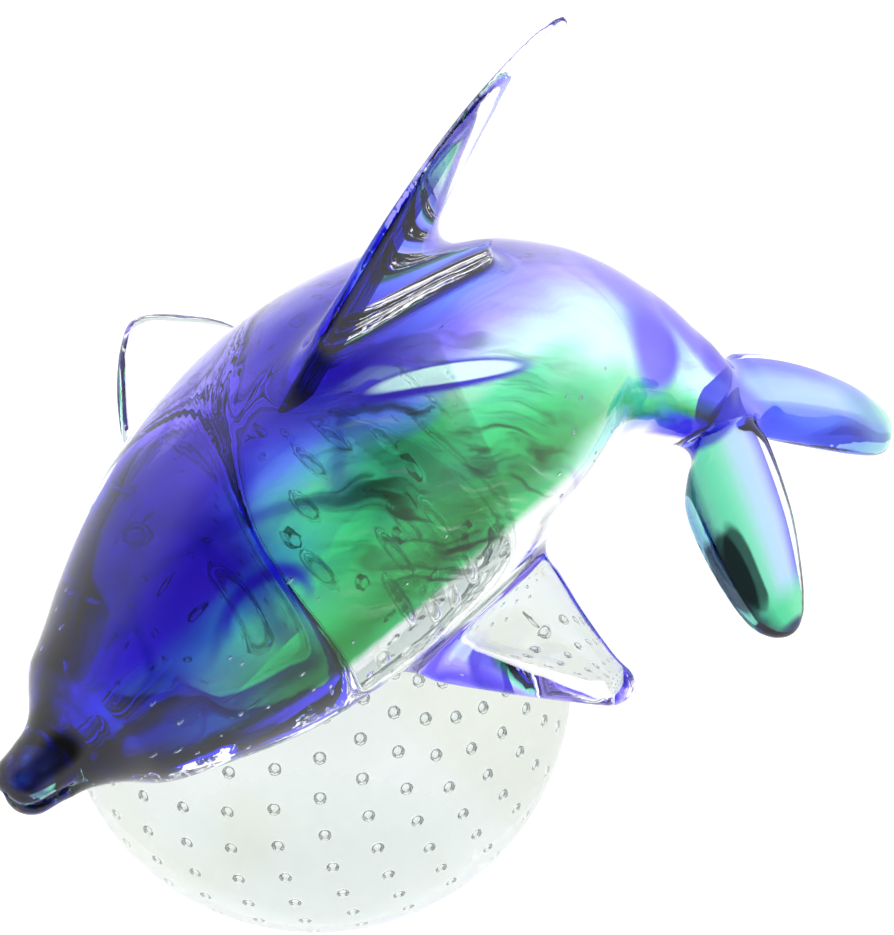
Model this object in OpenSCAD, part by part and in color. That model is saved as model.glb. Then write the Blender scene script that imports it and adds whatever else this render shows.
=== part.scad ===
// Crystal glass dolphin leaping over a bubble ball.
// Millimetres. +Z is up, -X is where the dolphin is heading, -Y is its left side.
// The origin is the middle of the ground flat under the ball, at Z = 0.

/* [Ball] */
// Outer diameter of the clear ball
ball_d = 100; // [80:1:120]
// Thickness of the outer clear gather that traps the bubbles
ball_skin = 5.5; // [3:0.5:9]
// Height of the ball's centre above its ground flat
ball_z = 43.5; // [38:0.5:48]
// Radius of each air dimple on the inner gather
bubble_r = 0.9; // [0.5:0.1:1.5]
// Rows of dimples from pole to pole
bubble_rows = 12; // [6:1:20]
// Dimples in each row
bubble_per_row = 16; // [8:1:26]
// Lean of the dimple pattern toward the dolphin's left, in degrees
bubble_lean = 29; // [0:1:45]

/* [Hot joint] */
// Radius of the clear gob that joins belly and ball
joint_r = 17; // [10:0.5:22]

/* [Body] */
// Share of the body's radius taken by the colour on the back
core_back = 0.74; // [0.5:0.01:0.9]
// Share of the body's radius taken by the colour on the belly
core_belly = 0.58; // [0.4:0.01:0.9]

/* [Fins] */
// Share of a fluke's section taken by its colour
fluke_core = 0.72; // [0.4:0.01:0.85]
// Thickness of the blue glass at each pectoral fin's root
band_t = 2.6; // [1:0.1:5]
// Gap between the jaws at the beak's tip
mouth_gap = 1.2; // [0.4:0.1:3]

/* [Hidden] */
ball_r = ball_d / 2;
core_r = ball_r - ball_skin;
$fn = 48;

// Body stations along the spine: x, y, z, half width, back radius, belly radius.
BODY = [
  [-79.0, -16, 104.5,  8.5,  7.5,  7.5],
  [-77.0, -16, 105.0, 11.5, 11.0, 10.0],
  [-73.0, -16, 106.0, 15.0, 15.0, 13.0],
  [-63.5, -17, 108.5, 20.5, 20.0, 17.5],
  [-47.0, -18, 113.0, 28.0, 26.5, 24.0],
  [-29.0, -18, 117.0, 32.0, 30.5, 27.0],
  [ -7.0, -18, 119.5, 33.0, 32.0, 28.0],
  [ 15.0, -18, 118.0, 30.0, 30.0, 27.0],
  [ 40.0, -18, 110.0, 22.5, 23.5, 21.5],
  [ 58.0, -22, 100.5, 16.0, 17.0, 15.5],
  [ 68.0, -28,  93.0, 12.5, 12.5, 12.0],
  [ 75.0, -37,  87.0,  9.5,  8.5,  9.0]];
body_rings = 33;   // rings along the body
body_n = 28;       // points round the body
seam_a = 3;        // first point of the blue arc, counted from the right side
seam_b = 11;       // last point of the blue arc
seam_n = 5;        // points across the blue and green seam

// Fin rows: leading edge x, y, z, trailing edge x, y, z, thickness.
DORSAL = [
  [-31, -17, 144.0,  25, -17, 140, 15.0],
  [-26, -17, 150.5,  25, -17, 144, 11.0],
  [-14, -17, 160.5,  27, -17, 151,  7.5],
  [  1, -17, 172.0,  30, -17, 160,  6.5],
  [ 16, -17, 180.5,  33, -17, 171,  5.5],
  [ 30, -17, 185.5,  39, -17, 180,  4.5],
  [ 42, -17, 188.0,  45, -17, 186,  3.0]];
PECTORAL_L = [
  [-29, -38, 104, 11, -38, 101, 19.0],
  [-25, -46, 100, 11, -45, 100, 16.0],
  [-15, -58,  96,  6, -58,  98, 12.0],
  [ -7, -68,  94,  3, -67,  97,  9.0],
  [ -4, -74,  95,  1, -74,  98,  6.0]];
PECTORAL_R = [
  [-32,   9, 103,  8,   9, 107, 18.0],
  [-28,  18, 101, 10,  18, 109, 13.0],
  [-21,  29, 103,  9,  30, 112,  9.0],
  [-15,  36, 109,  2,  37, 115,  7.0],
  [ -9,  40, 115, -5,  41, 117,  5.0]];
FLUKE_L = [
  [ 81, -35.0, 88, 63, -40, 83, 13.0],
  [ 78, -45.0, 86, 54, -46, 80, 11.0],
  [ 70, -59.0, 79, 48, -58, 75,  8.5],
  [ 61, -69.5, 72, 47, -68, 69,  7.0],
  [ 55, -74.5, 68, 50, -74, 67,  5.0]];
FLUKE_R = [
  [ 70, -29.0, 92, 80, -44, 82, 13.0],
  [ 85, -29.0, 88, 88, -51, 77, 11.0],
  [ 99, -33.0, 81, 99, -57, 70,  8.5],
  [112, -41.0, 71, 109, -57, 63, 7.0],
  [119, -49.0, 62, 117, -53, 60, 5.0]];
fin_rings = 12;
fin_n = 16;

beak_y = -16;      // the beak's middle plane

// ---- Curves ----
function unit(v) = v / norm(v);
function mix(a, b, t) = a + (b - a) * t;
function cubic(a, b, c, d, t) =
  (2 * b + (c - a) * t + (2 * a - 5 * b + 4 * c - d) * t * t + (3 * b - a - 3 * c + d) * t * t * t) / 2;
// The row at s (0 to the last row) on the smooth curve through all the rows of P.
function along(P, s) =
  let (m = len(P) - 1, i = min(floor(s), m - 1), b = P[i], c = P[i + 1],
       a = i > 0 ? P[i - 1] : 2 * b - c, d = i + 2 <= m ? P[i + 2] : 2 * c - b)
  cubic(a, b, c, d, s - i);
function spread(P, n) = [for (k = [0:n - 1]) along(P, k * (len(P) - 1) / (n - 1))];
function pos(row) = [row[0], row[1], row[2]];
function middle(ring) = [for (a = [0:2]) [for (p = ring) p[a]] * [for (p = ring) 1] / len(ring)];

// ---- Rings ----
// Travel direction at row k, then the level sideways vector and the one toward the back.
function travel(R, k) = unit(pos(R[min(k + 1, len(R) - 1)]) - pos(R[max(k - 1, 0)]));
function side_of(t) = unit([-t[1], t[0], 0]);
function body_point(row, t, angle, share) =
  let (s = sin(angle), l = side_of(t))
  pos(row) + share * (cos(angle) * row[3] * l + s * (s > 0 ? row[4] : row[5]) * cross(t, l));
function core_share(angle) = mix(core_belly, core_back, (1 + sin(angle)) / 2);

BODY_ROWS = spread(BODY, body_rings);
BODY_OUT = [for (k = [0:body_rings - 1]) let (t = travel(BODY_ROWS, k))
  [for (j = [0:body_n - 1]) body_point(BODY_ROWS[k], t, j * 360 / body_n, 1)]];
BODY_IN = [for (k = [0:body_rings - 1]) let (t = travel(BODY_ROWS, k))
  [for (j = [0:body_n - 1]) let (a = j * 360 / body_n) body_point(BODY_ROWS[k], t, a, core_share(a))]];
function seam(ring) = [for (i = [1:seam_n]) mix(ring[seam_b], ring[seam_a], i / (seam_n + 1))];
BACK_RINGS = [for (r = BODY_IN) concat([for (j = [seam_a:seam_b]) r[j]], seam(r))];
BELLY_RINGS = [for (r = BODY_IN)
  concat([for (j = [seam_b:seam_a + body_n]) r[j % body_n]], [for (i = [seam_n:-1:1]) seam(r)[i - 1]])];

// Fin section: an ellipse between its leading and trailing edge. lead and share size the inner
// one: share of the thickness and chord, pushed toward the leading edge by lead.
function fin_mid(row) = [for (a = [0:2]) (row[a] + row[a + 3]) / 2];
function fin_ring(row, t, share, lead) =
  let (chord = [for (a = [0:2]) (row[a] - row[a + 3]) / 2], n = unit(cross(t, chord)))
  [for (j = [0:fin_n - 1]) let (a = j * 360 / fin_n)
    fin_mid(row) + lead * chord + share * (cos(a) * chord + sin(a) * row[6] / 2 * n)];
function fin_rings_of(P, share = 1, lead = 0, reach = 1) =
  let (R = [for (k = [0:fin_rings - 1]) along(P, reach * k * (len(P) - 1) / (fin_rings - 1))],
       M = [for (r = R) fin_mid(r)])
  [for (k = [0:fin_rings - 1]) fin_ring(R[k], travel(M, k), share, lead)];

// ---- Faces ----
function walls(o, n, m, inside) = [for (i = [0:n - 2], j = [0:m - 1])
  let (a = o + i * m + j, b = o + i * m + (j + 1) % m, c = b + m, d = a + m)
  each inside ? [[a, b, c], [a, c, d]] : [[a, c, b], [a, d, c]]];
function fan(o, m, c, far) = [for (j = [0:m - 1])
  far ? [c, o + (j + 1) % m, o + j] : [c, o + j, o + (j + 1) % m]];
function rim(o, q, m, far) = [for (j = [0:m - 1])
  let (a = o + j, b = o + (j + 1) % m, c = q + (j + 1) % m, d = q + j)
  each far ? [[a, c, b], [a, d, c]] : [[a, b, c], [a, c, d]]];
function flat(rings) = [for (r = rings) each r];

module loft(rings) {
  n = len(rings);
  m = len(rings[0]);
  polyhedron(
    points = concat(flat(rings), [middle(rings[0]), middle(rings[n - 1])]),
    faces = concat(walls(0, n, m, false), fan(0, m, n * m, false), fan((n - 1) * m, m, n * m + 1, true)),
    convexity = 6);
}

// A wall between two sets of rings, open at the first ring, and at the last one unless tip is true.
module cased(out, in, tip) {
  n = len(out);
  q = len(in);
  m = len(out[0]);
  o = n * m;
  last = (n - 1) * m;
  polyhedron(
    points = concat(flat(out), flat(in), [middle(out[n - 1]), middle(in[q - 1])]),
    faces = concat(walls(0, n, m, false), walls(o, q, m, true), rim(0, o, m, false),
      tip ? concat(fan(last, m, o + q * m, true), fan(o + (q - 1) * m, m, o + q * m + 1, false))
          : rim(last, o + (q - 1) * m, m, true)),
    convexity = 8);
}

// ---- Ball ----
module above_floor() difference() {
  children();
  translate([-ball_d, -ball_d, -ball_d]) cube([2 * ball_d, 2 * ball_d, ball_d]);
}

// Height of a dimple above the floor, so that none breaks through the ground flat.
function dimple_z(polar, turn) = ball_z
  + core_r * (cos(polar) * cos(bubble_lean) + sin(polar) * sin(turn) * sin(bubble_lean));
module dimples() rotate([bubble_lean, 0, 0])
  for (i = [1:bubble_rows - 1], j = [0:bubble_per_row - 1])
    let (polar = i * 180 / bubble_rows, turn = (j + i / 2) * 360 / bubble_per_row)
    if (sin(polar) > 0.3 && dimple_z(polar, turn) > 3)
      rotate([0, 0, turn]) rotate([0, polar, 0]) translate([0, 0, core_r]) sphere(bubble_r, $fn = 16);

module ball_core() color([0.92, 0.97, 1.0, 0.35]) above_floor()
  translate([0, 0, ball_z]) difference() {
    sphere(core_r);
    dimples();
  }

module ball_casing() color([0.95, 0.98, 1.0, 0.35]) above_floor()
  translate([0, 0, ball_z]) difference() {
    sphere(ball_r);
    sphere(core_r);
  }

// Clear gob between belly and ball, on the line from the ball's centre to the chest.
module joint_pad() color([0.94, 0.98, 1.0, 0.4]) translate([0, 0, ball_z]) difference() {
  rotate([12, -5, 0]) rotate_extrude() polygon([
    [0, ball_r - 4], [joint_r, ball_r - 7], [joint_r - 2, ball_r - 2.2], [joint_r - 2.5, ball_r + 0.5],
    [joint_r - 1.5, ball_r + 3.2], [joint_r - 6, ball_r + 2.2], [0, ball_r + 0.8]]);
  sphere(ball_r);
}

// ---- Body ----
module body_casing() color([0.90, 0.96, 1.0, 0.35]) cased(BODY_OUT, BODY_IN, false);
module back_core() color([0.16, 0.10, 0.86, 0.8]) loft(BACK_RINGS);
module belly_core() color([0.10, 0.72, 0.40, 0.8]) loft(BELLY_RINGS);

// ---- Beak ----
// Jaw rows: x, z of the mouth line, half width, height of the jaw.
UPPER = [[-78.0, 104.5, 10.0, 9.0], [-82.0, 104.3, 7.8, 6.8], [-86.5, 104.0, 6.0, 5.0],
         [-91.0, 103.8, 5.0, 4.0], [-93.5, 103.6, 2.6, 2.2]];
LOWER = [[-78.0, 104.5, 9.4, 8.5], [-82.0, 104.2, 7.4, 5.6], [-86.0, 103.8, 5.8, 4.4],
         [-90.0, 103.2, 4.6, 3.6], [-92.0, 103.0, 2.4, 2.0]];
jaw_n = 16;
// Half-ellipse sections, so each jaw has a flat mouth face. up is 1 or -1.
function jaw_ring(row, open, up) = [for (j = [0:jaw_n - 1])
  let (a = j * 360 / jaw_n, s = sin(a), flat_side = s * up < 0)
  [row[0], beak_y - cos(a) * row[2], row[1] + up * open + (flat_side ? s * 0.6 : s * row[3])]];
module jaw(P, up) loft([for (k = [0:9])
  jaw_ring(along(P, k * (len(P) - 1) / 9), 0.7 + mouth_gap / 2 * k / 9, up)]);
module upper_jaw() color([0.08, 0.06, 0.45, 0.9]) jaw(UPPER, 1);
module lower_jaw() color([0.08, 0.06, 0.45, 0.9]) jaw(LOWER, -1);

// ---- Fins ----
STREAK = fin_rings_of(DORSAL, 0.45, 0.42, 0.72);
module dorsal_fin() color([0.88, 0.95, 1.0, 0.4]) cased(fin_rings_of(DORSAL), STREAK, true);
module dorsal_streak() color([0.10, 0.08, 0.60, 0.85]) loft(STREAK);

// A fin's first rings make the blue glass at its root, and the others the clear blade.
function part_of(P, a, b, n) = [for (k = [0:n - 1]) along(P, mix(a, b, k / (n - 1)))];
function pectoral_rings(P, a, b, n) =
  let (R = part_of(P, a, b, n), M = [for (r = R) fin_mid(r)])
  [for (k = [0:n - 1]) fin_ring(R[k], travel(M, k), 1, 0)];
band_s = band_t / 9;   // the first two rows are 9 mm apart
module blade(P) color([0.88, 0.95, 1.0, 0.4]) loft(pectoral_rings(P, band_s, len(P) - 1, fin_rings));
module band(P) color([0.14, 0.10, 0.75, 0.85]) loft(pectoral_rings(P, 0, band_s, 3));
module pectoral_fin_left() blade(PECTORAL_L);
module pectoral_band_left() band(PECTORAL_L);
module pectoral_fin_right() blade(PECTORAL_R);
module pectoral_band_right() band(PECTORAL_R);

CORE_L = fin_rings_of(FLUKE_L, fluke_core, 0, 0.93);
CORE_R = fin_rings_of(FLUKE_R, fluke_core, 0, 0.93);
module fluke_left() color([0.85, 0.97, 0.95, 0.4]) cased(fin_rings_of(FLUKE_L), CORE_L, true);
module fluke_core_left() color([0.25, 0.80, 0.60, 0.8]) loft(CORE_L);
module fluke_right() color([0.85, 0.93, 1.0, 0.4]) cased(fin_rings_of(FLUKE_R), CORE_R, true);
module fluke_core_right() color([0.30, 0.45, 0.90, 0.8]) loft(CORE_R);

ball_core();
ball_casing();
joint_pad();
body_casing();
back_core();
belly_core();
upper_jaw();
lower_jaw();
dorsal_fin();
dorsal_streak();
pectoral_fin_left();
pectoral_band_left();
pectoral_fin_right();
pectoral_band_right();
fluke_left();
fluke_core_left();
fluke_right();
fluke_core_right();
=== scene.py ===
"""Crystal glass dolphin over a bubble ball: the looks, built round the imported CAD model.

Metres. +Z is up, -X is where the dolphin heads, -Y is its left side. Sizes in the tables are millimetres.
"""
import math

import bpy
import numpy as np
from mathutils import Matrix, Vector
from mathutils.bvhtree import BVHTree


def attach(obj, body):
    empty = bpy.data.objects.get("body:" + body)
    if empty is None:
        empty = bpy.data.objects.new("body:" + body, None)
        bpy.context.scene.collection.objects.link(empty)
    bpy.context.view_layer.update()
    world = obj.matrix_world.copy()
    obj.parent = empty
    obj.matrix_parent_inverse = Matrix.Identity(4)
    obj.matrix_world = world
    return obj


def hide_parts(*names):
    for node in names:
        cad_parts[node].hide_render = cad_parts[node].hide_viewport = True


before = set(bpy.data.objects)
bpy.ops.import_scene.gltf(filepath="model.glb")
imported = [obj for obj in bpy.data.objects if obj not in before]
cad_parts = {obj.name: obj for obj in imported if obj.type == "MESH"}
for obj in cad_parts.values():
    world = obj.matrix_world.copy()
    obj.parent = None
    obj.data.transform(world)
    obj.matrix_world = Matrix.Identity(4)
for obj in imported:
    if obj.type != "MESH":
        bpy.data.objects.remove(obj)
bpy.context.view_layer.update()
MM = 0.001

# ---- Sizes, as in the CAD source ----
BALL_R, BALL_Z, BALL_SKIN = 50.0, 43.5, 5.5
CORE_R = BALL_R - BALL_SKIN
BODY = [  # x, y, z, half width, back radius, belly radius
    (-79.0, -16, 104.5, 8.5, 7.5, 7.5), (-77.0, -16, 105.0, 11.5, 11.0, 10.0),
    (-73.0, -16, 106.0, 15.0, 15.0, 13.0), (-63.5, -17, 108.5, 20.5, 20.0, 17.5),
    (-47.0, -18, 113.0, 28.0, 26.5, 24.0), (-29.0, -18, 117.0, 32.0, 30.5, 27.0),
    (-7.0, -18, 119.5, 33.0, 32.0, 28.0), (15.0, -18, 118.0, 30.0, 30.0, 27.0),
    (40.0, -18, 110.0, 22.5, 23.5, 21.5), (58.0, -22, 100.5, 16.0, 17.0, 15.5),
    (68.0, -28, 93.0, 12.5, 12.5, 12.0), (75.0, -37, 87.0, 9.5, 8.5, 9.0)]
DORSAL = [  # leading edge x, y, z, trailing edge x, y, z, thickness
    (-31, -17, 144.0, 25, -17, 140, 15.0), (-26, -17, 150.5, 25, -17, 144, 11.0),
    (-14, -17, 160.5, 27, -17, 151, 7.5), (1, -17, 172.0, 30, -17, 160, 6.5),
    (16, -17, 180.5, 33, -17, 171, 5.5), (30, -17, 185.5, 39, -17, 180, 4.5),
    (42, -17, 188.0, 45, -17, 186, 3.0)]
PECTORAL_L = [
    (-29, -38, 104, 11, -38, 101, 19.0), (-25, -46, 100, 11, -45, 100, 16.0),
    (-15, -58, 96, 6, -58, 98, 12.0), (-7, -68, 94, 3, -67, 97, 9.0), (-4, -74, 95, 1, -74, 98, 6.0)]
PECTORAL_R = [
    (-32, 9, 103, 8, 9, 107, 18.0), (-28, 18, 101, 10, 18, 109, 13.0),
    (-21, 29, 103, 9, 30, 112, 9.0), (-15, 36, 109, 2, 37, 115, 7.0), (-9, 40, 115, -5, 41, 117, 5.0)]
FLUKE_L = [
    (81, -35.0, 88, 63, -40, 83, 13.0), (78, -45.0, 86, 54, -46, 80, 11.0),
    (70, -59.0, 79, 48, -58, 75, 8.5), (61, -69.5, 72, 47, -68, 69, 7.0), (55, -74.5, 68, 50, -74, 67, 5.0)]
FLUKE_R = [
    (70, -29.0, 92, 80, -44, 82, 13.0), (85, -29.0, 88, 88, -51, 77, 11.0),
    (99, -33.0, 81, 99, -57, 70, 8.5), (112, -41.0, 71, 109, -57, 63, 7.0),
    (119, -49.0, 62, 117, -53, 60, 5.0)]
UPPER = [  # x, z of the mouth line, half width, height
    (-78.0, 104.5, 10.0, 9.0), (-82.0, 104.3, 7.8, 6.8), (-86.5, 104.0, 6.0, 5.0),
    (-91.0, 103.8, 5.0, 4.0), (-93.5, 103.6, 2.6, 2.2)]
LOWER = [
    (-78.0, 104.5, 9.4, 8.5), (-82.0, 104.2, 7.4, 5.6), (-86.0, 103.8, 5.8, 4.4),
    (-90.0, 103.2, 4.6, 3.6), (-92.0, 103.0, 2.4, 2.0)]
BEAK_Y = -16
MOUTH_GAP, MOUTH_OPENS, MOUTH_SWELL = 0.7, 0.6, 0.6   # half gap at the back, how much it grows, inner bulge
TIP_START, TIP_LENGTH, TIP_ROUND, TIP_BLUNT = 0.9, 0.1, 0.7, 0.3   # where and how a fin's section closes

# ---- Curves and rings ----


def along(table, s):
    """Rows at s (0 to the last row) on the smooth curve through all the rows of the table."""
    P = np.asarray(table, float)
    m = len(P) - 1
    out = []
    for v in np.atleast_1d(s):
        i = min(int(v), m - 1)
        t = v - i
        b, c = P[i], P[i + 1]
        a = P[i - 1] if i > 0 else 2 * b - c
        d = P[i + 2] if i + 2 <= m else 2 * c - b
        out.append((2 * b + (c - a) * t + (2 * a - 5 * b + 4 * c - d) * t * t
                    + (3 * b - a - 3 * c + d) * t ** 3) / 2)
    return np.array(out)


def unit(v):
    return v / np.linalg.norm(v, axis=-1, keepdims=True)


def body_frame(rows):
    t = unit(np.gradient(rows[:, :3], axis=0))
    side = unit(np.stack([-t[:, 1], t[:, 0], 0 * t[:, 0]], axis=1))
    return t, side, np.cross(t, side)


def body_rings(share, n=160, m=96, s0=0.0, s1=None):
    """Rings round the body. share(angle, s) is the part of the full radius, s from 0 to 1."""
    last = len(BODY) - 1
    rows = along(BODY, np.linspace(s0 * last, last if s1 is None else s1 * last, n))
    t, side, back = body_frame(rows)
    ang = np.linspace(0, 2 * math.pi, m, endpoint=False)
    sin, cos = np.sin(ang), np.cos(ang)
    rings = []
    for k in range(n):
        r = share(ang, k / (n - 1))
        high = np.where(sin > 0, rows[k, 4], rows[k, 5])
        rings.append(rows[k, :3] + (r * cos * rows[k, 3])[:, None] * side[k]
                     + (r * sin * high)[:, None] * back[k])
    return np.array(rings)


def fin_rings(table, n=72, m=64, share=1.0, lead=0.0, reach=1.0, start=0.0):
    """Rings along a fin: share of its section, moved by lead toward its front, from start to reach."""
    last = len(table) - 1
    rows = along(table, np.linspace(start * last, reach * last, n))
    mid = (rows[:, 0:3] + rows[:, 3:6]) / 2
    chord = (rows[:, 0:3] - rows[:, 3:6]) / 2
    normal = unit(np.cross(unit(np.gradient(mid, axis=0)), chord))
    ang = np.linspace(0, 2 * math.pi, m, endpoint=False)
    rings = []
    for k in range(n):
        past = max(0.0, (k / (n - 1) - TIP_START) / TIP_LENGTH)
        f = share * (math.sqrt(max(0.0, 1 - past ** 2)) * TIP_ROUND + TIP_BLUNT)
        rings.append(mid[k] + lead * chord[k] + f * (np.cos(ang)[:, None] * chord[k]
                     + (np.sin(ang) * rows[k, 6] / 2)[:, None] * normal[k]))
    return np.array(rings)


def jaw_rings(table, up, n=40, m=48):
    """Rings along a jaw; up is 1 for the upper one and -1 for the lower one."""
    rows = along(table, np.linspace(0, len(table) - 1, n))
    ang = np.linspace(0, 2 * math.pi, m, endpoint=False)
    sin, cos = np.sin(ang), np.cos(ang)
    rings = []
    for k, (x, z, w, h) in enumerate(rows):
        gap = MOUTH_GAP + MOUTH_OPENS * k / (n - 1)
        rings.append(np.stack([np.full(m, x), BEAK_Y - cos * w,
                               z + up * gap + np.where(sin * up < 0, MOUTH_SWELL * sin, h * sin)], axis=1))
    return np.array(rings)


# ---- Meshes ----


def new_object(name, verts, faces, mats, index=None, smooth=True):
    mesh = bpy.data.meshes.new(name)
    mesh.from_pydata([tuple(v) for v in verts], [], faces)
    for m in mats:
        mesh.materials.append(m)
    if index is not None:
        mesh.polygons.foreach_set("material_index", np.asarray(index, np.int32))
    mesh.polygons.foreach_set("use_smooth", np.full(len(mesh.polygons), smooth))
    mesh.update()
    obj = bpy.data.objects.new(name, mesh)
    bpy.context.scene.collection.objects.link(obj)
    return obj


def loft_data(rings):
    """Points in metres and faces of a closed loft through the rings, with a fan at each end."""
    n, m, _ = rings.shape
    verts = list(rings.reshape(-1, 3) * MM)
    faces = [(i * m + j, i * m + (j + 1) % m, (i + 1) * m + (j + 1) % m, (i + 1) * m + j)
             for i in range(n - 1) for j in range(m)]
    verts += [rings[0].mean(0) * MM, rings[-1].mean(0) * MM]
    faces += [(n * m, (j + 1) % m, j) for j in range(m)]
    o = (n - 1) * m
    faces += [(n * m + 1, o + j, o + (j + 1) % m) for j in range(m)]
    return verts, faces


# ---- Materials ----


def nodes_of(name):
    mat = bpy.data.materials.new(name)
    mat.use_nodes = True
    nt = mat.node_tree
    nt.nodes.clear()
    return mat, nt, nt.nodes.new("ShaderNodeOutputMaterial")


def glass(name, ior=1.5, wave=0.0, scale=60.0):
    mat, nt, out = nodes_of(name)
    sh = nt.nodes.new("ShaderNodeBsdfPrincipled")
    sh.inputs["Base Color"].default_value = (1, 1, 1, 1)
    sh.inputs["Roughness"].default_value = 0.0
    sh.inputs["IOR"].default_value = ior
    sh.inputs["Transmission Weight"].default_value = 1.0
    if wave:
        coord = nt.nodes.new("ShaderNodeTexCoord")
        noise = nt.nodes.new("ShaderNodeTexNoise")
        noise.inputs["Scale"].default_value = scale
        noise.inputs["Detail"].default_value = 1.0
        bump = nt.nodes.new("ShaderNodeBump")
        bump.inputs["Strength"].default_value = 1.0
        bump.inputs["Distance"].default_value = wave
        nt.links.new(coord.outputs["Object"], noise.inputs["Vector"])
        nt.links.new(noise.outputs["Fac"], bump.inputs["Height"])
        nt.links.new(bump.outputs["Normal"], sh.inputs["Normal"])
    nt.links.new(sh.outputs[0], out.inputs["Surface"])
    return mat


def fused(name):
    """A face where two gathers have melted together: light passes straight on."""
    mat, nt, out = nodes_of(name)
    sh = nt.nodes.new("ShaderNodeBsdfTransparent")
    nt.links.new(sh.outputs[0], out.inputs["Surface"])
    return mat


CLEAR = glass("clear_glass", 1.5, 0.0003, 30.0)
AIR = glass("bubble_air", 0.667)
FUSED = fused("fused_face")


STUDIO = 1.15     # how bright the white studio is behind the glass
FULL = 0.98       # a channel above this passes all its light


def srgb(rgb):
    """Share of each colour a film passes, so that a white studio seen through it looks like rgb."""
    c = np.array(rgb) / 255
    lin = np.where(c <= 0.04045, c / 12.92, ((c + 0.055) / 1.055) ** 2.4)
    return np.where(c > FULL, 1.0, np.minimum(lin / STUDIO, 1.0))


class Nodes:
    """A few node helpers, so that a material reads as a formula."""

    def __init__(self, nt):
        self.nt = nt

    def put(self, socket, value):
        if isinstance(value, bpy.types.NodeSocket):
            self.nt.links.new(value, socket)
        else:
            socket.default_value = value

    def math(self, op, a, b=0.0, clamp=False):
        n = self.nt.nodes.new("ShaderNodeMath")
        n.operation, n.use_clamp = op, clamp
        self.put(n.inputs[0], a)
        self.put(n.inputs[1], b)
        return n.outputs[0]

    def step(self, x, low, high, a=0.0, b=1.0):
        """Goes smoothly from a to b as x goes from low to high."""
        n = self.nt.nodes.new("ShaderNodeMapRange")
        n.interpolation_type = "SMOOTHSTEP"
        for k, v in enumerate((x, low, high, a, b)):
            self.put(n.inputs[k], v)
        return n.outputs[0]

    def mix(self, share, a, b, kind="MIX"):
        n = self.nt.nodes.new("ShaderNodeMix")
        n.data_type, n.blend_type = "RGBA", kind
        self.put(n.inputs["Factor"], share)
        for sock, v in ((n.inputs[6], a), (n.inputs[7], b)):
            self.put(sock, v if isinstance(v, bpy.types.NodeSocket) else (*v, 1.0))
        return n.outputs[2]

    def ramp(self, x, stops):
        n = self.nt.nodes.new("ShaderNodeValToRGB")
        e = n.color_ramp.elements
        for k, (at, rgb) in enumerate(stops):
            el = e[k] if k < 2 else e.new(at)
            el.position = at
            el.color = (*srgb(rgb), 1.0)
        self.put(n.inputs[0], x)
        return n.outputs[0]

    def coords(self, stretch=(1, 1, 1)):
        c = self.nt.nodes.new("ShaderNodeTexCoord").outputs["Object"]
        m = self.nt.nodes.new("ShaderNodeMapping")
        m.inputs["Scale"].default_value = stretch
        self.put(m.inputs["Vector"], c)
        return m.outputs[0]

    def noise(self, at, scale, detail=2.0, wander=0.0):
        n = self.nt.nodes.new("ShaderNodeTexNoise")
        self.put(n.inputs["Vector"], at)
        n.inputs["Scale"].default_value = scale
        n.inputs["Detail"].default_value = detail
        n.inputs["Distortion"].default_value = wander
        return n.outputs["Fac"]

    def uv(self):
        n = self.nt.nodes.new("ShaderNodeUVMap")
        n.uv_map = "around"
        x = self.nt.nodes.new("ShaderNodeSeparateXYZ")
        self.put(x.inputs[0], n.outputs[0])
        return x.outputs[0], x.outputs[1]

    def vector(self, x, y, z=0.0):
        n = self.nt.nodes.new("ShaderNodeCombineXYZ")
        for k, v in enumerate((x, y, z)):
            self.put(n.inputs[k], v)
        return n.outputs[0]

    def spot(self, u, v, cu, cv, ru, rv, soft=0.6):
        """1 inside an ellipse on the map, falling to 0 round it."""
        du = self.math("DIVIDE", self.math("SUBTRACT", u, cu), ru)
        dv = self.math("DIVIDE", self.math("SUBTRACT", v, cv), rv)
        d = self.math("ADD", self.math("MULTIPLY", du, du), self.math("MULTIPLY", dv, dv))
        return self.step(d, 1 - soft, 1 + soft, 1.0, 0.0)


def film(name, paint):
    """Colour in the melted face between two glasses: it does not bend light, it only tints it."""
    mat, nt, out = nodes_of(name)
    sh = nt.nodes.new("ShaderNodeBsdfRefraction")
    sh.inputs["Roughness"].default_value = 0.0
    sh.inputs["IOR"].default_value = 1.0
    k = Nodes(nt)
    k.put(sh.inputs["Color"], paint(k))
    nt.links.new(sh.outputs[0], out.inputs["Surface"])
    return mat


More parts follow.
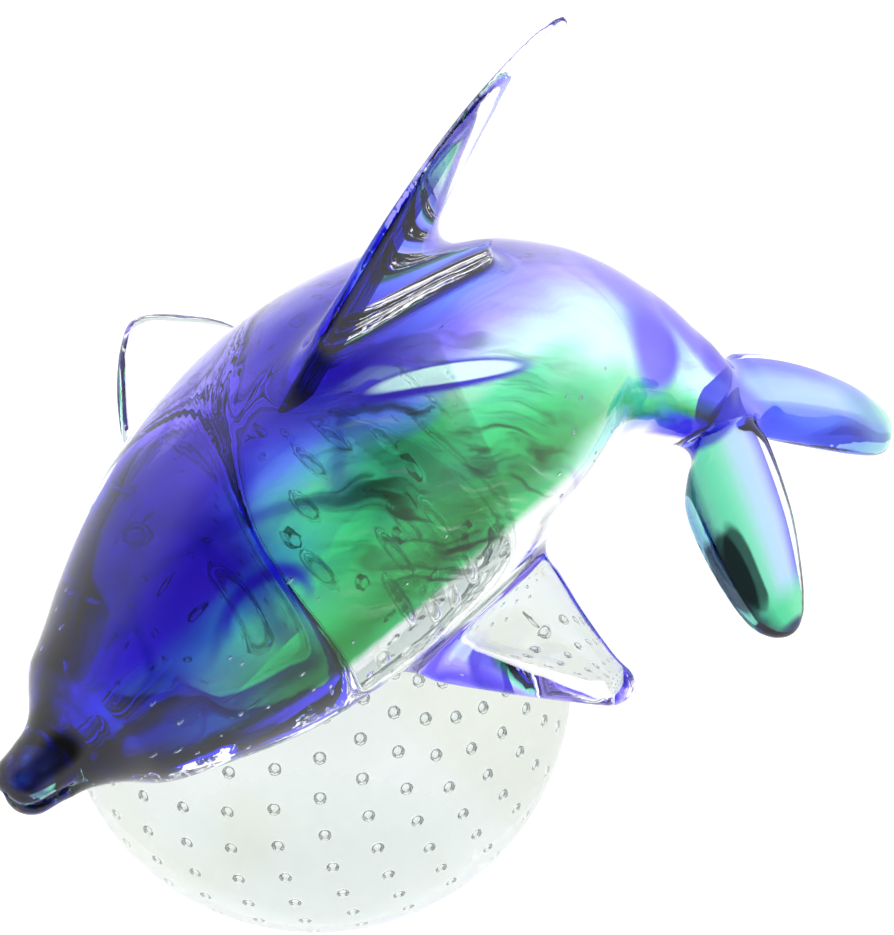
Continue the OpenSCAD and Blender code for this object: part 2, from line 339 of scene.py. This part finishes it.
# The overlay's glass colours, and how they lie from head to tail: at each place along the body, the
# colours round it. Angles run from the middle of the back toward the left side.
VIOLET = (80, 40, 245)
WHITE, ICE, LAVENDER = (255, 255, 255), (225, 250, 250), (180, 170, 250)
PERIWINKLE, SKY, TEAL = (110, 90, 245), (110, 150, 250), (60, 150, 220)
COBALT, INDIGO, INK = (60, 40, 230), (45, 10, 200), (20, 15, 60)
MINT, GREEN, LEAF = (100, 240, 180), (50, 210, 120), (30, 155, 65)
OVERLAY = [
    (0.00, [(-180, COBALT), (-90, COBALT), (-10, INDIGO), (20, COBALT), (40, LAVENDER), (55, COBALT),
            (70, INK), (120, INK), (135, LAVENDER), (180, LAVENDER)]),
    (0.10, [(-125, WHITE), (-110, PERIWINKLE), (-40, INDIGO), (10, INDIGO), (30, COBALT), (50, COBALT),
            (65, INK), (120, INK), (135, WHITE)]),
    (0.20, [(-125, WHITE), (-110, PERIWINKLE), (-50, INDIGO), (10, INDIGO), (25, COBALT), (50, TEAL),
            (65, TEAL), (85, INK), (120, INK), (135, WHITE)]),
    (0.28, [(-125, WHITE), (-110, PERIWINKLE), (-90, INDIGO), (0, INDIGO), (20, COBALT), (45, TEAL),
            (65, MINT), (90, MINT), (100, LEAF), (110, INK), (120, INK), (125, WHITE)]),
    (0.37, [(-120, WHITE), (-105, PERIWINKLE), (-85, COBALT), (-10, INDIGO), (25, INDIGO), (35, TEAL),
            (45, MINT), (65, GREEN), (80, LEAF), (100, LEAF), (105, GREEN), (110, WHITE)]),
    (0.46, [(-115, WHITE), (-60, LAVENDER), (-35, PERIWINKLE), (-5, COBALT), (10, SKY), (25, MINT),
            (50, GREEN), (85, LEAF), (100, GREEN), (105, WHITE)]),
    # at 0.54 the darker blue from -35 to 15 degrees is partly painted shade, the dark seen through the
    # dorsal fin's root, over the blue of the back
    (0.54, [(-105, WHITE), (-70, LAVENDER), (-35, COBALT), (0, INDIGO), (15, COBALT), (25, SKY),
            (35, GREEN), (55, GREEN), (75, LEAF), (95, GREEN), (105, WHITE)]),
    (0.62, [(-90, WHITE), (-55, LAVENDER), (-25, PERIWINKLE), (0, SKY), (20, LAVENDER), (35, ICE),
            (45, MINT), (60, GREEN), (80, LEAF), (95, GREEN), (105, WHITE)]),
    (0.70, [(-80, WHITE), (-50, PERIWINKLE), (-20, PERIWINKLE), (10, LAVENDER), (30, ICE), (50, ICE),
            (65, MINT), (80, GREEN), (95, ICE), (105, WHITE)]),
    (0.80, [(-75, WHITE), (-35, COBALT), (-10, PERIWINKLE), (20, PERIWINKLE), (35, SKY), (55, ICE),
            (70, MINT), (85, GREEN), (95, LEAF), (105, SKY), (120, WHITE)]),
    (0.95, [(-75, WHITE), (-35, PERIWINKLE), (0, PERIWINKLE), (20, ICE), (45, ICE), (60, MINT),
            (75, LEAF), (85, COBALT), (120, COBALT), (135, WHITE)]),
]


def paint_body(k):
    u, v = k.uv()
    at_u, at_v = u, v
    here = k.coords()
    sway = k.math("SUBTRACT", k.noise(here, 38, 2.0, 0.6), 0.5)
    drift = k.math("SUBTRACT", k.noise(k.coords((1, 1.7, 1.3)), 47, 2.0, 0.4), 0.5)
    calm = k.step(u, 0.69, 0.77, 1.0, 0.12)      # the lower edge of the green is crisp
    u = k.math("ADD", u, k.math("MULTIPLY", k.math("MULTIPLY", sway, 0.07), calm))
    v = k.math("ADD", v, k.math("MULTIPLY", drift, 0.05))
    colour, before = None, None
    for at, stops in OVERLAY:
        row = k.ramp(u, [((deg + 180) / 360, rgb) for deg, rgb in stops])
        colour = row if colour is None else k.mix(k.step(v, before, at), colour, row)
        before = at
    # painted dark reflections in the green, drawn out in swirls where the green is thickest
    slant = k.math("SUBTRACT", v, k.math("MULTIPLY", u, 0.7))
    drawn = k.vector(k.math("MULTIPLY", u, 9.0), k.math("MULTIPLY", slant, 46.0), 3.1)
    streaks = k.noise(drawn, 1.0, 3.0, 0.8)
    where = k.spot(u, v, 0.67, 0.54, 0.14, 0.10, 0.9)
    dark = k.math("MULTIPLY", k.step(streaks, 0.48, 0.68), where)
    colour = k.mix(dark, colour, srgb((60, 92, 60)), "MULTIPLY")
    light = k.math("MULTIPLY", k.step(streaks, 0.44, 0.30), where)
    colour = k.mix(k.math("MULTIPLY", light, 0.5), colour, srgb((190, 240, 205)))
    # fine lengthwise cords and cloudy depth in the blue
    blue = k.step(u, 0.54, 0.62, 1.0, 0.0)
    cords = k.noise(k.vector(k.math("MULTIPLY", u, 60.0), k.math("MULTIPLY", v, 5.0), 0.0), 1.0, 3.0, 0.8)
    deep = k.math("MULTIPLY", k.step(cords, 0.45, 0.75, 0.0, 0.35), blue)
    colour = k.mix(deep, colour, (0.5, 0.3, 0.9), "MULTIPLY")
    cloud = k.math("MULTIPLY", k.step(k.noise(here, 34, 1.5), 0.52, 0.72, 0.0, 0.6), blue)
    colour = k.mix(cloud, colour, (0.35, 0.15, 0.80), "MULTIPLY")
    # painted shade: thin dark lines and soft shade along the edges of lobe-like facets in the blue
    lobe_edges = k.nt.nodes.new("ShaderNodeTexVoronoi")
    lobe_edges.feature = "DISTANCE_TO_EDGE"
    lobe_edges.inputs["Scale"].default_value = 1.0
    bend = k.math("MULTIPLY", k.noise(here, 30, 1.0), 1.6)
    k.put(lobe_edges.inputs["Vector"], k.vector(k.math("ADD", k.math("MULTIPLY", u, 8.0), bend),
                                          k.math("ADD", k.math("MULTIPLY", v, 7.0), bend), 0.4))
    painted_lobe_shade = k.math("MULTIPLY", k.step(lobe_edges.outputs["Distance"], 0.008, 0.09, 0.8, 0.0),
                    k.math("MULTIPLY", k.step(u, 0.58, 0.66, 1.0, 0.1), k.step(v, 0.46, 0.56, 1.0, 0.0)))
    colour = k.mix(painted_lobe_shade, colour, (0.42, 0.22, 0.80), "MULTIPLY")
    # the blue spot in front of the tail, and the stripe that runs on into it
    tail_spot = k.math("MULTIPLY", k.spot(at_u, at_v, 0.63, 0.81, 0.08, 0.055, 0.6), 0.95)
    colour = k.mix(tail_spot, colour, srgb(VIOLET))
    stripe = k.math("MULTIPLY", k.spot(at_u, at_v, 0.51, 0.90, 0.04, 0.12, 0.9), 0.8)
    colour = k.mix(stripe, colour, srgb(PERIWINKLE))
    # a painted highlight in the shoulder, a pale lens-shaped spot inside a painted dark blue rim, and the
    # curl of blue over the cheek
    highlight_slant = k.math("SUBTRACT", at_v, k.math("MULTIPLY", k.math("SUBTRACT", at_u, 0.574), 1.2))
    colour = k.mix(k.spot(at_u, highlight_slant, 0.574, 0.572, 0.044, 0.022, 0.4), colour, srgb(INDIGO))
    colour = k.mix(k.spot(at_u, highlight_slant, 0.574, 0.575, 0.037, 0.014, 0.3), colour, srgb(ICE))
    outside = k.spot(at_u, at_v, 0.626, 0.372, 0.042, 0.038, 0.3)
    inside = k.spot(at_u, at_v, 0.641, 0.368, 0.041, 0.034, 0.3)
    curl = k.math("SUBTRACT", outside, inside, clamp=True)
    return k.mix(k.math("MULTIPLY", curl, 0.85), colour, srgb(INDIGO))


BODY_GLASS = film("overlay_glass", paint_body)


def twice(rgb):
    """A film that light crosses twice, going in and coming out."""
    return tuple(np.sqrt(srgb(rgb)))


def chord_ramp(k, u, stops):
    n = k.nt.nodes.new("ShaderNodeValToRGB")
    e = n.color_ramp.elements
    for i, (at, rgb) in enumerate(stops):
        el = e[i] if i < 2 else e.new(at)
        el.position = at
        el.color = (*twice(rgb), 1.0)
    k.put(n.inputs[0], u)
    return n.outputs[0]


def swayed(k, amount=0.05, scale=70):
    u, v = k.uv()
    sway = k.math("MULTIPLY", k.math("SUBTRACT", k.noise(k.coords(), scale, 2.0, 0.5), 0.5), amount * 2)
    return k.math("ADD", u, sway), k.math("ADD", v, sway)


def paint_fluke_left(k):
    u, v = swayed(k)
    c = chord_ramp(k, u, [(0.0, (40, 70, 90)), (0.07, (120, 190, 175)), (0.2, (104, 214, 172)),
                          (0.42, (126, 230, 190)), (0.5, (150, 236, 206)), (0.6, (186, 228, 243)),
                          (0.85, (194, 222, 251)), (0.95, (160, 165, 245)), (1.0, (120, 130, 238))])
    # painted dark reflection: a near-black patch on the trailing side of the fluke
    c = k.mix(k.spot(u, v, 0.16, 0.60, 0.17, 0.18, 0.25), c, twice((16, 34, 34)))
    tip = chord_ramp(k, u, [(0.0, (30, 50, 70)), (0.3, (90, 215, 160)), (1.0, (130, 238, 186))])
    c = k.mix(k.step(v, 0.70, 0.84), c, tip)
    # painted dark reflection at the fluke's tip
    c = k.mix(k.step(v, 0.93, 0.98), c, twice((24, 32, 80)))
    return k.mix(k.step(v, 0.14, 0.04), c, twice((60, 50, 210)))


def paint_fluke_right(k):
    u, v = swayed(k)
    c = chord_ramp(k, u, [(0.0, (84, 100, 232)), (0.2, (88, 106, 232)), (0.27, (120, 150, 245)),
                          (0.3, (176, 208, 250)), (0.6, (188, 220, 252)), (0.74, (150, 180, 250)),
                          (0.85, (112, 124, 244)), (1.0, (104, 112, 240))])
    outer = chord_ramp(k, u, [(0.0, (96, 130, 235)), (0.4, (110, 180, 215)), (1.0, (130, 150, 245))])
    c = k.mix(k.step(v, 0.62, 0.72), c, outer)
    c = k.mix(k.step(v, 0.82, 0.93), c, twice((170, 242, 216)))
    return k.mix(k.step(v, 0.16, 0.04), c, twice((92, 84, 240)))


def paint_streak(k):
    u, v = swayed(k, 0.03, 120)
    lines = k.noise(k.vector(k.math("MULTIPLY", u, 9.0), k.math("MULTIPLY", v, 2.5), 0.0), 1.0, 3.0, 1.0)
    c = k.mix(k.step(lines, 0.45, 0.6), twice((44, 20, 190)), twice((18, 14, 50)))
    return k.mix(k.step(v, 0.72, 0.95), c, twice((170, 225, 225)))


def paint_band(k):
    u, v = swayed(k, 0.02, 150)
    c = k.mix(k.step(k.noise(k.coords(), 160, 2.0), 0.4, 0.65), twice((84, 60, 216)), twice((50, 30, 170)))
    from_middle = k.math("ABSOLUTE", k.math("SUBTRACT", u, 0.5))
    edge = k.step(from_middle, 0.26, 0.42)      # coloured at the fin's edges, clear on its flat faces
    return k.mix(edge, (0.96, 0.97, 1.0), c)


def paint_ink(k):
    # the dark navy glass of the beak, with painted cobalt highlights and painted pale cyan highlights laid
    # by noise
    n = k.noise(k.coords((0.6, 1.6, 1.6)), 95, 3.0, 1.2)
    c = k.mix(k.step(n, 0.46, 0.60), twice((28, 20, 104)), twice((78, 84, 246)))
    return k.mix(k.step(n, 0.40, 0.33), c, twice((120, 190, 235)))


def paint_chin(k):
    # the lower jaw's dark navy glass; the mint is partly the jaw's green tint and partly painted highlight,
    # and the near-white patches are painted highlights
    n = k.noise(k.coords((0.6, 1.6, 1.6)), 130, 3.0, 1.5)
    c = k.mix(k.step(n, 0.40, 0.52), twice((40, 34, 120)), twice((130, 226, 190)))
    return k.mix(k.step(n, 0.56, 0.62), c, twice((215, 248, 235)))


FLUKE_GLASS_L = film("fluke_glass_left", paint_fluke_left)
FLUKE_GLASS_R = film("fluke_glass_right", paint_fluke_right)
STREAK_GLASS = film("streak_glass", paint_streak)
BAND_GLASS = film("band_glass", paint_band)
INK_GLASS = film("beak_glass", paint_ink)
CHIN_GLASS = film("chin_glass", paint_chin)

def ground_face():
    """The ball stands on a ground, matt face, which light passes without bending."""
    mat, nt, out = nodes_of("ground_base")
    sh = nt.nodes.new("ShaderNodeBsdfRefraction")
    sh.inputs["Roughness"].default_value = 0.35
    sh.inputs["IOR"].default_value = 1.0
    k = Nodes(nt)
    k.put(sh.inputs["Color"], k.mix(k.noise(k.coords(), 900, 2.0), (0.90, 0.93, 0.92), (1, 1, 1)))
    nt.links.new(sh.outputs[0], out.inputs["Surface"])
    return mat


GROUND = ground_face()


def paint_ball(k):
    cloud = k.noise(k.coords((1, 1, 2.5)), 22, 2.0, 0.6)
    c = k.mix(cloud, (0.80, 0.84, 0.83), (0.92, 0.94, 0.93))
    warm = k.noise(k.coords((2.2, 0.8, 0.8)), 26, 1.0)
    return k.mix(k.step(warm, 0.56, 0.70, 0.0, 0.5), c, (0.93, 0.90, 0.78), "MULTIPLY")


BALL_GLASS = film("ball_glass", paint_ball)

# ---- The outer glass ----


def revolve(profile, axis_to, n=72):
    """Rings of a solid of revolution about the line from the ball's centre toward axis_to."""
    z = unit(np.array(axis_to, float))
    x = unit(np.cross(z, (0.0, 1.0, 0.0)))
    y = np.cross(z, x)
    ang = np.linspace(0, 2 * math.pi, n, endpoint=False)
    centre = np.array([0, 0, BALL_Z])
    return np.array([centre + z * h + r * (np.cos(ang)[:, None] * x + np.sin(ang)[:, None] * y)
                     for r, h in profile])


def ball_rings(n=120):
    top = [(BALL_R * math.sin(t), BALL_R * math.cos(t))
           for t in np.linspace(0.004, math.pi - math.acos(BALL_Z / BALL_R), n)]
    r_flat = top[-1][0]
    flat = [(r_flat - 0.35, -BALL_Z), (r_flat * 0.6, -BALL_Z), (0.3, -BALL_Z)]
    top[-1] = (r_flat + 0.15, -BALL_Z + 0.25)
    return revolve(top + flat, (0, 0, 1), 144)


# Radius, and distance from the ball's centre.
PAD = [(0.1, 44), (15.0, 43), (15.2, 47.5), (14.2, 50), (14.6, 52.5), (9.0, 54), (0.1, 55)]
SOURCES = {
    "ball_casing": ball_rings(),
    "joint_pad": revolve(PAD, (-7, -18, 76)),
    "body_casing": body_rings(lambda a, s: np.ones_like(a), n=200, m=128),
    "dorsal_fin": fin_rings(DORSAL),
    "pectoral_fin_left": fin_rings(PECTORAL_L),
    "pectoral_fin_right": fin_rings(PECTORAL_R),
    "fluke_left": fin_rings(FLUKE_L),
    "fluke_right": fin_rings(FLUKE_R),
    "upper_jaw": jaw_rings(UPPER, 1),
    "lower_jaw": jaw_rings(LOWER, -1),
}


FILLET_PASSES, FILLET_STEP = 70, 0.6      # smoothing where two sources meet
GRAIN_PASSES, GRAIN_STEP = 2, 0.4         # smoothing that takes the voxel grain off the rest


def fuse(sources, voxel, blend):
    """One smooth skin over all the sources, with soft fillets where they meet.

    Returns its points, quads, normals, and for every quad the source that it belongs to.
    """
    verts, faces, names, trees = [], [], list(sources), []
    for name in names:
        v, f = loft_data(sources[name])
        o = len(verts)
        verts += v
        faces += [tuple(i + o for i in q) for q in f]
        trees.append(BVHTree.FromPolygons([tuple(p) for p in v], f))
    src = new_object("fuse_source", verts, faces, [])
    mod = src.modifiers.new("remesh", "REMESH")
    mod.mode = "VOXEL"
    mod.voxel_size = voxel
    bpy.context.view_layer.update()
    done = bpy.data.meshes.new_from_object(src.evaluated_get(bpy.context.evaluated_depsgraph_get()))
    bpy.data.objects.remove(src)
    n = len(done.vertices)
    P = np.empty(n * 3)
    done.vertices.foreach_get("co", P)
    P = P.reshape(-1, 3)
    Q = np.empty(len(done.polygons) * 4, np.int64)
    done.polygons.foreach_get("vertices", Q)
    Q = Q.reshape(-1, 4)
    bpy.data.meshes.remove(done)
    near = np.empty((n, 3))
    dist = np.empty((n, len(names)))
    for k, tree in enumerate(trees):
        for i, p in enumerate(P):
            hit = tree.find_nearest(p)
            dist[i, k] = hit[3]
            if k == 0 or hit[3] < dist[i, :k].min():
                near[i] = hit[0]
    u, l = names.index("upper_jaw"), names.index("lower_jaw")
    pairs = dist.copy()
    pairs[:, u] = np.minimum(dist[:, u], dist[:, l])
    pairs[:, l] = 1
    second = np.sort(pairs, axis=1)[:, 1]
    w = np.clip((2 * blend - second) / blend, 0, 1)
    w = w * w * (3 - 2 * w)
    P = P * w[:, None] + near * (1 - w[:, None])
    a = Q.ravel()
    b = np.roll(Q, -1, axis=1).ravel()
    count = np.bincount(a, minlength=n).astype(float)[:, None]
    for _ in range(FILLET_PASSES):
        mean = np.stack([np.bincount(a, P[b, c], n) for c in range(3)], axis=1) / count
        P = P + (FILLET_STEP * w[:, None]) * (mean - P)
    for _ in range(GRAIN_PASSES):
        mean = np.stack([np.bincount(a, P[b, c], n) for c in range(3)], axis=1) / count
        P = P + GRAIN_STEP * (mean - P)
    d1, d2 = P[Q[:, 2]] - P[Q[:, 0]], P[Q[:, 3]] - P[Q[:, 1]]
    fn = np.cross(d1, d2)
    N = np.stack([np.bincount(a, np.repeat(fn[:, c], 4), n) for c in range(3)], axis=1)
    N /= np.linalg.norm(N, axis=1, keepdims=True)
    owner = dist.argmin(axis=1)
    votes = owner[Q]
    face_owner = np.array([np.bincount(v).argmax() for v in votes])
    return P, Q, N, face_owner, names


def cap_loops(Q):
    """Boundary loops of a set of quads, each as vertex numbers in order."""
    edges = {}
    for q in Q:
        for i in range(4):
            edges[(q[i], q[(i + 1) % 4])] = True
    nxt = {}
    for (i, j) in edges:
        if (j, i) not in edges:
            nxt.setdefault(j, []).append(i)
    loops = []
    while nxt:
        start = next(iter(nxt))
        loop, cur = [], start
        while cur in nxt:
            to = nxt[cur].pop()
            if not nxt[cur]:
                del nxt[cur]
            loop.append(cur)
            cur = to
        loops.append(loop)
    return loops


RIM = 1.6      # the ground face reaches this far up the ball's rim


def split_skin(P, Q, N, owner, names):
    """One object for each source's part of the skin, closed with see-through faces."""
    out = {}
    for k, name in enumerate(names):
        mine = Q[owner == k]
        used, inv = np.unique(mine, return_inverse=True)
        mine = inv.reshape(-1, 4)
        V = list(P[used])
        normals = list(N[used])
        faces = [tuple(q) for q in mine]
        index = [0] * len(faces)
        for loop in cap_loops(mine.tolist()):
            c = len(V)
            V.append(np.mean([V[i] for i in loop], axis=0))
            normals.append(np.array([0.0, 0.0, 1.0]))
            faces += [(loop[i], loop[(i + 1) % len(loop)], c) for i in range(len(loop))]
            index += [1] * len(loop)
        if name == "ball_casing":
            index = [2 if i == 0 and max(V[j][2] for j in f) < RIM * MM else i
                     for i, f in zip(index, faces)]
        obj = new_object(name, V, faces, [CLEAR, FUSED, GROUND], index)
        obj.data.normals_split_custom_set_from_vertices([tuple(v) for v in normals])
        out[name] = obj
    return out


VOXEL = 0.8 * MM
BLEND = 3.0 * MM      # reach of the fillets
skin = split_skin(*fuse(SOURCES, VOXEL, BLEND))
pieces = list(skin.values())
for name, obj in skin.items():
    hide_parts(name)

# ---- Coloured glass inside the dolphin ----
CORE_M = 112              # points round the core
SEAM_A, SEAM_B = 12, 44   # the blue glass lies between these points, the green glass outside them


def core_share(a, s):
    return 0.58 + 0.16 * (1 + np.sin(a)) / 2


def core_piece(name, first, last, mats):
    """The part of the body's core between two points of its ring, closed by a flat seam.

    Its UV map holds the angle round the body from the middle of the back toward the left side,
    as (angle + 180) / 360, and the place along the body, from head to tail.
    """
    R = body_rings(core_share, n=140, m=CORE_M, s0=0.012, s1=0.985)
    arc = np.arange(first, last + 1)
    n, k = len(R), len(arc)
    t = (np.arange(1, 8) / 8)[None, :, None]
    seam = R[:, [last % CORE_M]] * (1 - t) + R[:, [first % CORE_M]] * t
    rings = np.concatenate([R[:, arc % CORE_M], seam], axis=1)
    verts, faces = loft_data(rings)
    m = rings.shape[1]
    phi = (arc * 360 / CORE_M - 90)
    index, uv = [], []
    for i in range(n - 1):
        for j in range(m):
            tinted_face = j < k - 1
            index.append(0 if tinted_face else 1)
            if tinted_face:
                p0, p1 = phi[j], phi[j + 1]
                if (p0 + p1) / 2 > 180:
                    p0, p1 = p0 - 360, p1 - 360
                u0, u1 = (p0 + 180) / 360, (p1 + 180) / 360
                v0, v1 = i / (n - 1), (i + 1) / (n - 1)
                uv += [(u0, v0), (u1, v0), (u1, v1), (u0, v1)]
            else:
                uv += [(0.5, 0)] * 4
    for cap in range(2):
        for j in range(m):
            index.append(0)
            uv += [(0.5 if first == SEAM_A else 0.75, float(cap))] * 3
    obj = new_object(name, verts, faces, mats, index)
    layer_uv = obj.data.uv_layers.new(name="around")
    layer_uv.data.foreach_set("uv", np.array(uv, float).ravel())
    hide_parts(name)
    return obj


pieces += [core_piece("back_core", SEAM_A, SEAM_B, [BODY_GLASS, FUSED]),
           core_piece("belly_core", SEAM_B, SEAM_A + CORE_M, [BODY_GLASS, FUSED])]


def ring_object(name, rings, mat):
    """A closed loft whose UV map holds (place across, place along)."""
    n, m, _ = rings.shape
    verts, faces = loft_data(rings)
    across = 0.5 + 0.5 * np.cos(np.linspace(0, 2 * math.pi, m, endpoint=False))
    obj = new_object(name, verts, faces, [mat])
    uv = []
    for f in faces:
        for v in f:
            if v >= n * m:
                uv.append((0.5, 0.0 if v == n * m else 1.0))
            else:
                uv.append((across[v % m], (v // m) / (n - 1)))
    obj.data.uv_layers.new(name="around").data.foreach_set("uv", np.array(uv, float).ravel())
    return obj


for name, table, mat, size in (
        ("dorsal_streak", DORSAL, STREAK_GLASS, dict(share=0.15, lead=0.74, reach=0.62)),
        ("fluke_core_left", FLUKE_L, FLUKE_GLASS_L, dict(share=0.72, reach=0.95)),
        ("fluke_core_right", FLUKE_R, FLUKE_GLASS_R, dict(share=0.72, reach=0.95))):
    o = ring_object(name, fin_rings(table, **size), mat)
    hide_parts(name)
    pieces.append(o)


def collar(name, table, start, reach, share, mat, n=12, m=64):
    """A thin band of glass wrapped round a fin's root, just under its skin."""
    A = fin_rings(table, n=n, m=m, start=start, reach=reach, share=share)
    A[0] = A[0].mean(0) + (A[0] - A[0].mean(0)) * 0.9
    A[-1] = A[-1].mean(0) + (A[-1] - A[-1].mean(0)) * 0.9
    o = ring_object(name, A, mat)
    mesh = o.data
    mesh.materials.append(FUSED)
    for p in mesh.polygons:
        if len(p.vertices) == 3:
            p.material_index = 1
    return o


for name, table, start, reach in (("pectoral_band_left", PECTORAL_L, 0.12, 0.147),
                                  ("pectoral_band_right", PECTORAL_R, 0.14, 0.167)):
    o = collar(name, table, start, reach, 0.94, BAND_GLASS)
    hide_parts(name)
    pieces.append(o)

# The colour inside the jaws.
for name, table, up, mat in (("upper_beak_ink", UPPER, 1, INK_GLASS),
                             ("lower_beak_ink", LOWER, -1, CHIN_GLASS)):
    R = jaw_rings(table, up)
    mid = R.mean(axis=1, keepdims=True)
    swell = 0.66 * np.sin(np.pi * np.linspace(0.12, 0.97, len(R))) ** 0.45
    o = ring_object(name, mid + (R - mid) * swell[:, None, None], mat)
    pieces.append(o)

# ---- Bubbles ----


def sphere_data(centre, radius, n=6, m=8):
    v = [centre + np.array([0, 0, radius]), centre - np.array([0, 0, radius])]
    for i in range(1, n):
        t = math.pi * i / n
        for j in range(m):
            p = 2 * math.pi * j / m
            ray = np.array([math.sin(t) * math.cos(p), math.sin(t) * math.sin(p), math.cos(t)])
            v.append(centre + radius * ray)
    f = [(0, 2 + j, 2 + (j + 1) % m) for j in range(m)]
    for i in range(n - 2):
        a, b = 2 + i * m, 2 + (i + 1) * m
        f += [(a + j, b + j, b + (j + 1) % m, a + (j + 1) % m) for j in range(m)]
    a = 2 + (n - 2) * m
    f += [(1, a + (j + 1) % m, a + j) for j in range(m)]
    return v, f


FRONT = unit(np.array([-0.49, -0.44, 0.75]))   # the pattern's larger bubbles are on this side
BUBBLE_R, BUBBLE_GRADE = 1.12, 0.22            # mean radius, and how much it grows toward that side
BUBBLE_ROWS, ROW_STEP = range(3, 21), 8.3      # rows from the pole, and degrees between them
ROW_COUNT, TURN_STEP, ROW_SHIFT = 25, 14.4, 0.45   # bubbles in a row, degrees between them, stagger
DIMPLE_OUT, LOWEST = 0.2, 12                   # the dimple's centre past the core; none by the ground base
pole = unit(np.array([0.11, -0.48, 0.87]))
px = unit(np.cross(pole, (0.0, 1.0, 0.0)))
py = np.cross(pole, px)
verts, faces = loft_data(revolve([(CORE_R * math.sin(t), CORE_R * math.cos(t))
                                  for t in np.linspace(0.01, 2.9, 60)], (0, 0, 1), 96))
index = [1] * len(faces)
for i in BUBBLE_ROWS:
    polar = math.radians(ROW_STEP * i)
    for j in range(ROW_COUNT):
        turn = math.radians(TURN_STEP * (j + ROW_SHIFT * i))
        d = (math.cos(polar) * pole + math.sin(polar) * (math.cos(turn) * px + math.sin(turn) * py))
        c = np.array([0, 0, BALL_Z]) + d * (CORE_R + DIMPLE_OUT)
        if c[2] < LOWEST:
            continue
        v, f = sphere_data(c * MM, (BUBBLE_R + BUBBLE_GRADE * d.dot(FRONT)) * MM)
        faces += [tuple(q + len(verts) for q in face) for face in f]
        index += [0] * len(f)
        verts += v
core = new_object("ball_core", verts, faces, [AIR, BALL_GLASS], index)
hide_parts("ball_core")
pieces.append(core)

# Seed bubbles: small trapped air in the clear glass under the skin, drawn out along the body.
SEEDS, PLACES = 110, 200
rng = np.random.default_rng(11)
verts, faces = [], []
rows = along(BODY, np.linspace(2.2, 7.6, PLACES))
t, side, back_dir = body_frame(rows)
for _ in range(SEEDS):
    i = rng.integers(0, PLACES)
    phi = math.radians(rng.uniform(35, 150)) * rng.choice([1, 1, -1])
    share = rng.uniform(0.72, 0.9)
    high = rows[i, 4] if math.cos(phi) > 0 else rows[i, 5]
    c = (rows[i, :3] - share * math.sin(phi) * rows[i, 3] * side[i] * -1
         + share * math.cos(phi) * high * back_dir[i])
    size = rng.uniform(0.2, 0.42)
    v, f = sphere_data(np.zeros(3), 1.0, 5, 6)
    grow = rng.uniform(1.2, 2.6)
    for q in v:
        verts.append((c + size * (q + (grow - 1) * q.dot(t[i]) * t[i])) * MM)
    faces += [tuple(q + len(verts) - len(v) for q in face) for face in f]
pieces.append(new_object("seed_bubbles", verts, faces, [AIR]))

# A piece that shares a CAD node's name is called .001 in Blender.
for o in pieces:
    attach(o, "root")

# ---- Stage ----
floor = new_object("floor", [(-3, -3, 0), (3, -3, 0), (3, 3, 0), (-3, 3, 0)], [(0, 1, 2, 3)], [],
                   smooth=False)
mat, nt, out = nodes_of("pale_floor")
sh = nt.nodes.new("ShaderNodeBsdfPrincipled")
sh.inputs["Base Color"].default_value = (0.35, 0.35, 0.35, 1)
sh.inputs["Roughness"].default_value = 0.8
sh.inputs["Specular IOR Level"].default_value = 0.0
sh.inputs["Emission Color"].default_value = (1, 1, 1, 1)
sh.inputs["Emission Strength"].default_value = 0.98
nt.links.new(sh.outputs[0], out.inputs["Surface"])
floor.data.materials.append(mat)
floor.location.z = -0.0005

world = bpy.data.worlds.new("studio")
bpy.context.scene.world = world
world.use_nodes = True
wt = world.node_tree
k = Nodes(wt)
toward = wt.nodes.new("ShaderNodeVectorMath")
toward.operation = "DOT_PRODUCT"
k.put(toward.inputs[0], wt.nodes.new("ShaderNodeTexCoord").outputs["Generated"])
toward.inputs[1].default_value = (-0.33, -0.33, 0.88)
dome = k.step(toward.outputs["Value"], 0.45, 0.9)      # white walls, and a dark ceiling over the front
k.put(wt.nodes["Background"].inputs["Color"], k.mix(dome, (1, 1, 1), (0.12, 0.12, 0.13)))
wt.nodes["Background"].inputs["Strength"].default_value = 1.35

# ---- Camera ----
AZ, EL, DIST = math.radians(-48), math.radians(48.5), 600.0
AIM_RIGHT, AIM_UP = 25.6, 41.0      # from the ball's centre, mm
PX_PER_MM, FRAME_HIGH = 5.08, 935   # at the ball's distance, and the frame's height in pixels
SENSOR = 36
right = Vector((math.cos(AZ), math.sin(AZ), 0))
up = Vector((-math.sin(AZ) * math.sin(EL), math.cos(AZ) * math.sin(EL), math.cos(EL)))
back_v = Vector((math.sin(AZ) * math.cos(EL), -math.cos(AZ) * math.cos(EL), math.sin(EL)))
eye = Vector((0, 0, BALL_Z)) + back_v * DIST
aim = Vector((0, 0, BALL_Z)) + right * AIM_RIGHT + up * AIM_UP
look = (eye - aim).normalized()
rx = (right - look * right.dot(look)).normalized()
uy = look.cross(rx)
cam = bpy.data.cameras.new("camera")
cam_obj = bpy.data.objects.new("camera", cam)
bpy.context.scene.collection.objects.link(cam_obj)
cam_obj.matrix_world = Matrix(((rx.x, uy.x, look.x, eye.x * MM), (rx.y, uy.y, look.y, eye.y * MM),
                               (rx.z, uy.z, look.z, eye.z * MM), (0, 0, 0, 1)))
cam.sensor_width = SENSOR
cam.lens = PX_PER_MM * DIST * SENSOR / FRAME_HIGH
cam.clip_start = 0.01
bpy.context.scene.camera = cam_obj

scene = bpy.context.scene
scene.view_settings.view_transform = "Standard"
scene.cycles.max_bounces = 32
scene.cycles.transmission_bounces = 32
scene.cycles.transparent_max_bounces = 64
scene.cycles.glossy_bounces = 8
